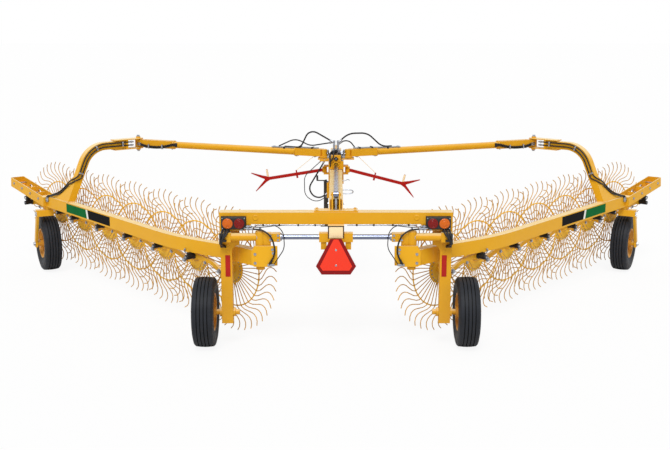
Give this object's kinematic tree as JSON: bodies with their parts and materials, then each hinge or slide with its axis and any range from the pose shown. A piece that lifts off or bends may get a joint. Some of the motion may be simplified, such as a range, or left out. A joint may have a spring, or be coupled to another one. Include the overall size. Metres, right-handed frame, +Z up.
{
  "type": "wheel hay rake",
  "caption": "Towed V-shaped wheel hay rake: two folding arms of spinning tined wheels on casters, joined by booms to a sliding carriage on a tongue with a wheeled rear frame.",
  "frame": {"origin": "centre of the bounding box in plan, on the ground under the wheels", "axes": "+Y the way the rake is towed, +X to its right, +Z up"},
  "size_m": [9.3086, 7.7798, 2.0599],
  "materials": {
    "frame_paint": "gloss yellow-orange paint",
    "arm_paint": "gloss yellow-orange paint",
    "boom_paint": "gloss yellow-orange paint",
    "rim_paint": "gloss yellow-orange paint",
    "tine_steel": "worn spring steel",
    "tyre": "matte black rubber",
    "float_unit": "satin black",
    "jack": "satin black",
    "rod_chrome": "polished",
    "valve_steel": "zinc plated",
    "fork_paint": "gloss red paint",
    "sign_border": "retro-reflective dark red",
    "sign_face": "fluorescent orange-red",
    "lamp_box": "black",
    "hose": "matte black hose",
    "lens_red": "translucent red",
    "lens_amber": "translucent amber"
  },
  "bodies": {
    "frame": {"cross_beam": "frame_paint", "leg_left": "frame_paint", "leg_right": "frame_paint", "centre_post": "frame_paint", "tongue": "frame_paint", "hitch": "frame_paint", "saddle_plate": "frame_paint", "hinge_brackets": "frame_paint", "width_cylinders": "frame_paint", "cylinder_rods": "rod_chrome", "jack_tube": "jack", "sign_border": "sign_border", "sign_face": "sign_face", "lamp_boxes": "lamp_box", "red_lenses": "lens_red", "amber_lenses": "lens_amber"},
    "jack_leg": {"jack_leg": "jack"},
    "carriage": {"carriage": "frame_paint", "fold_cylinder": "frame_paint", "valve_block": "valve_steel", "hose_left": "hose", "hose_right": "hose"},
    "arm_left": {"arm_left": "arm_paint", "neck_left": "arm_paint", "cranks_left": "arm_paint", "float_units_left": "float_unit", "hinge_hoses_left": "hose"},
    "boom_left": {"boom_left": "boom_paint", "fork_left": "fork_paint"},
    "caster_left": {"caster_fork_left": "arm_paint"},
    "rear_wheel_left": {"rear_tyre_left": "tyre", "rear_rim_left": "rim_paint"},
    "front_wheel_left": {"front_tyre_left": "tyre", "front_rim_left": "rim_paint"},
    "rake_wheel_left_1": {"rake_wheel_left_1": "tine_steel"},
    "rake_wheel_left_2": {"rake_wheel_left_2": "tine_steel"},
    "rake_wheel_left_3": {"rake_wheel_left_3": "tine_steel"},
    "rake_wheel_left_4": {"rake_wheel_left_4": "tine_steel"},
    "rake_wheel_left_5": {"rake_wheel_left_5": "tine_steel"},
    "rake_wheel_left_6": {"rake_wheel_left_6": "tine_steel"},
    "rake_wheel_left_7": {"rake_wheel_left_7": "tine_steel"},
    "arm_right": {"arm_right": "arm_paint", "neck_right": "arm_paint", "cranks_right": "arm_paint", "float_units_right": "float_unit", "hinge_hoses_right": "hose"},
    "boom_right": {"boom_right": "boom_paint", "fork_right": "fork_paint"},
    "caster_right": {"caster_fork_right": "arm_paint"},
    "rear_wheel_right": {"rear_tyre_right": "tyre", "rear_rim_right": "rim_paint"},
    "front_wheel_right": {"front_tyre_right": "tyre", "front_rim_right": "rim_paint"},
    "rake_wheel_right_1": {"rake_wheel_right_1": "tine_steel"},
    "rake_wheel_right_2": {"rake_wheel_right_2": "tine_steel"},
    "rake_wheel_right_3": {"rake_wheel_right_3": "tine_steel"},
    "rake_wheel_right_4": {"rake_wheel_right_4": "tine_steel"},
    "rake_wheel_right_5": {"rake_wheel_right_5": "tine_steel"},
    "rake_wheel_right_6": {"rake_wheel_right_6": "tine_steel"},
    "rake_wheel_right_7": {"rake_wheel_right_7": "tine_steel"}
  },
  "joints": [
    {"name": "arm_fold_left", "type": "hinge", "parent": "frame", "child": "arm_left", "pos_m": [-0.8, -3.63, 1], "axis": [0, 0, -1], "range_deg": [0, 36.77]},
    {"name": "boom_turn_left", "type": "hinge", "parent": "carriage", "child": "boom_left", "pos_m": [-0.15, -1.06, 1.78], "axis": [0, 0, -1], "range_deg": [0, 67.5]},
    {"name": "caster_swivel_left", "type": "hinge", "parent": "arm_left", "child": "caster_left", "pos_m": [-3.94777, -0.17354, 0.9], "axis": [0, 0, 1], "range_deg": [0, 150]},
    {"name": "front_wheel_spin_left", "type": "hinge", "parent": "caster_left", "child": "front_wheel_left", "pos_m": [-4.00859, 0.00819, 0.38], "axis": [0.8988, 0.4384, 0], "continuous": true},
    {"name": "rear_wheel_spin_left", "type": "hinge", "parent": "frame", "child": "rear_wheel_left", "pos_m": [-1.411, -3.51, 0.38], "axis": [1, 0, 0], "continuous": true},
    {"name": "rake_spin_left_1", "type": "hinge", "parent": "arm_left", "child": "rake_wheel_left_1", "pos_m": [-1.15121, -3.12289, 0.77], "axis": [0.6691, 0.7431, 0], "continuous": true},
    {"name": "rake_spin_left_2", "type": "hinge", "parent": "arm_left", "child": "rake_wheel_left_2", "pos_m": [-1.60714, -2.55278, 0.77], "axis": [0.6691, 0.7431, 0], "continuous": true},
    {"name": "rake_spin_left_3", "type": "hinge", "parent": "arm_left", "child": "rake_wheel_left_3", "pos_m": [-2.06307, -1.98266, 0.77], "axis": [0.6691, 0.7431, 0], "continuous": true},
    {"name": "rake_spin_left_4", "type": "hinge", "parent": "arm_left", "child": "rake_wheel_left_4", "pos_m": [-2.519, -1.41255, 0.77], "axis": [0.6691, 0.7431, 0], "continuous": true},
    {"name": "rake_spin_left_5", "type": "hinge", "parent": "arm_left", "child": "rake_wheel_left_5", "pos_m": [-2.97492, -0.84244, 0.77], "axis": [0.6691, 0.7431, 0], "continuous": true},
    {"name": "rake_spin_left_6", "type": "hinge", "parent": "arm_left", "child": "rake_wheel_left_6", "pos_m": [-3.43086, -0.27233, 0.77], "axis": [0.6691, 0.7431, 0], "continuous": true},
    {"name": "rake_spin_left_7", "type": "hinge", "parent": "arm_left", "child": "rake_wheel_left_7", "pos_m": [-3.88679, 0.29779, 0.77], "axis": [0.6691, 0.7431, 0], "continuous": true},
    {"name": "arm_fold_right", "type": "hinge", "parent": "frame", "child": "arm_right", "pos_m": [0.8, -3.63, 1], "axis": [0, 0, 1], "range_deg": [0, 36.77]},
    {"name": "boom_turn_right", "type": "hinge", "parent": "carriage", "child": "boom_right", "pos_m": [0.15, -1.06, 1.78], "axis": [0, 0, 1], "range_deg": [0, 67.5]},
    {"name": "caster_swivel_right", "type": "hinge", "parent": "arm_right", "child": "caster_right", "pos_m": [3.94777, -0.17354, 0.9], "axis": [0, 0, -1], "range_deg": [0, 150]},
    {"name": "front_wheel_spin_right", "type": "hinge", "parent": "caster_right", "child": "front_wheel_right", "pos_m": [4.00859, 0.00819, 0.38], "axis": [-0.8988, 0.4384, 0], "continuous": true},
    {"name": "rear_wheel_spin_right", "type": "hinge", "parent": "frame", "child": "rear_wheel_right", "pos_m": [1.411, -3.51, 0.38], "axis": [1, 0, 0], "continuous": true},
    {"name": "rake_spin_right_1", "type": "hinge", "parent": "arm_right", "child": "rake_wheel_right_1", "pos_m": [1.15121, -3.12289, 0.77], "axis": [-0.6691, 0.7431, 0], "continuous": true},
    {"name": "rake_spin_right_2", "type": "hinge", "parent": "arm_right", "child": "rake_wheel_right_2", "pos_m": [1.60714, -2.55278, 0.77], "axis": [-0.6691, 0.7431, 0], "continuous": true},
    {"name": "rake_spin_right_3", "type": "hinge", "parent": "arm_right", "child": "rake_wheel_right_3", "pos_m": [2.06307, -1.98266, 0.77], "axis": [-0.6691, 0.7431, 0], "continuous": true},
    {"name": "rake_spin_right_4", "type": "hinge", "parent": "arm_right", "child": "rake_wheel_right_4", "pos_m": [2.519, -1.41255, 0.77], "axis": [-0.6691, 0.7431, 0], "continuous": true},
    {"name": "rake_spin_right_5", "type": "hinge", "parent": "arm_right", "child": "rake_wheel_right_5", "pos_m": [2.97492, -0.84244, 0.77], "axis": [-0.6691, 0.7431, 0], "continuous": true},
    {"name": "rake_spin_right_6", "type": "hinge", "parent": "arm_right", "child": "rake_wheel_right_6", "pos_m": [3.43086, -0.27233, 0.77], "axis": [-0.6691, 0.7431, 0], "continuous": true},
    {"name": "rake_spin_right_7", "type": "hinge", "parent": "arm_right", "child": "rake_wheel_right_7", "pos_m": [3.88679, 0.29779, 0.77], "axis": [-0.6691, 0.7431, 0], "continuous": true},
    {"name": "carriage_slide", "type": "slide", "parent": "frame", "child": "carriage", "axis": [0, -1, 0], "range_m": [0, 1.29321]},
    {"name": "jack_slide", "type": "slide", "parent": "frame", "child": "jack_leg", "axis": [0, 0, 1], "range_m": [0, 0.23]}
  ],
  "couplings": [
    {"joint": "arm_fold_right", "follows": "arm_fold_left", "ratio": 1},
    {"joint": "carriage_slide", "follows": "arm_fold_left", "m_per_rad": 2.0145},
    {"joint": "boom_turn_left", "follows": "arm_fold_left", "ratio": 1.8354},
    {"joint": "boom_turn_right", "follows": "arm_fold_left", "ratio": 1.8354}
  ]
}
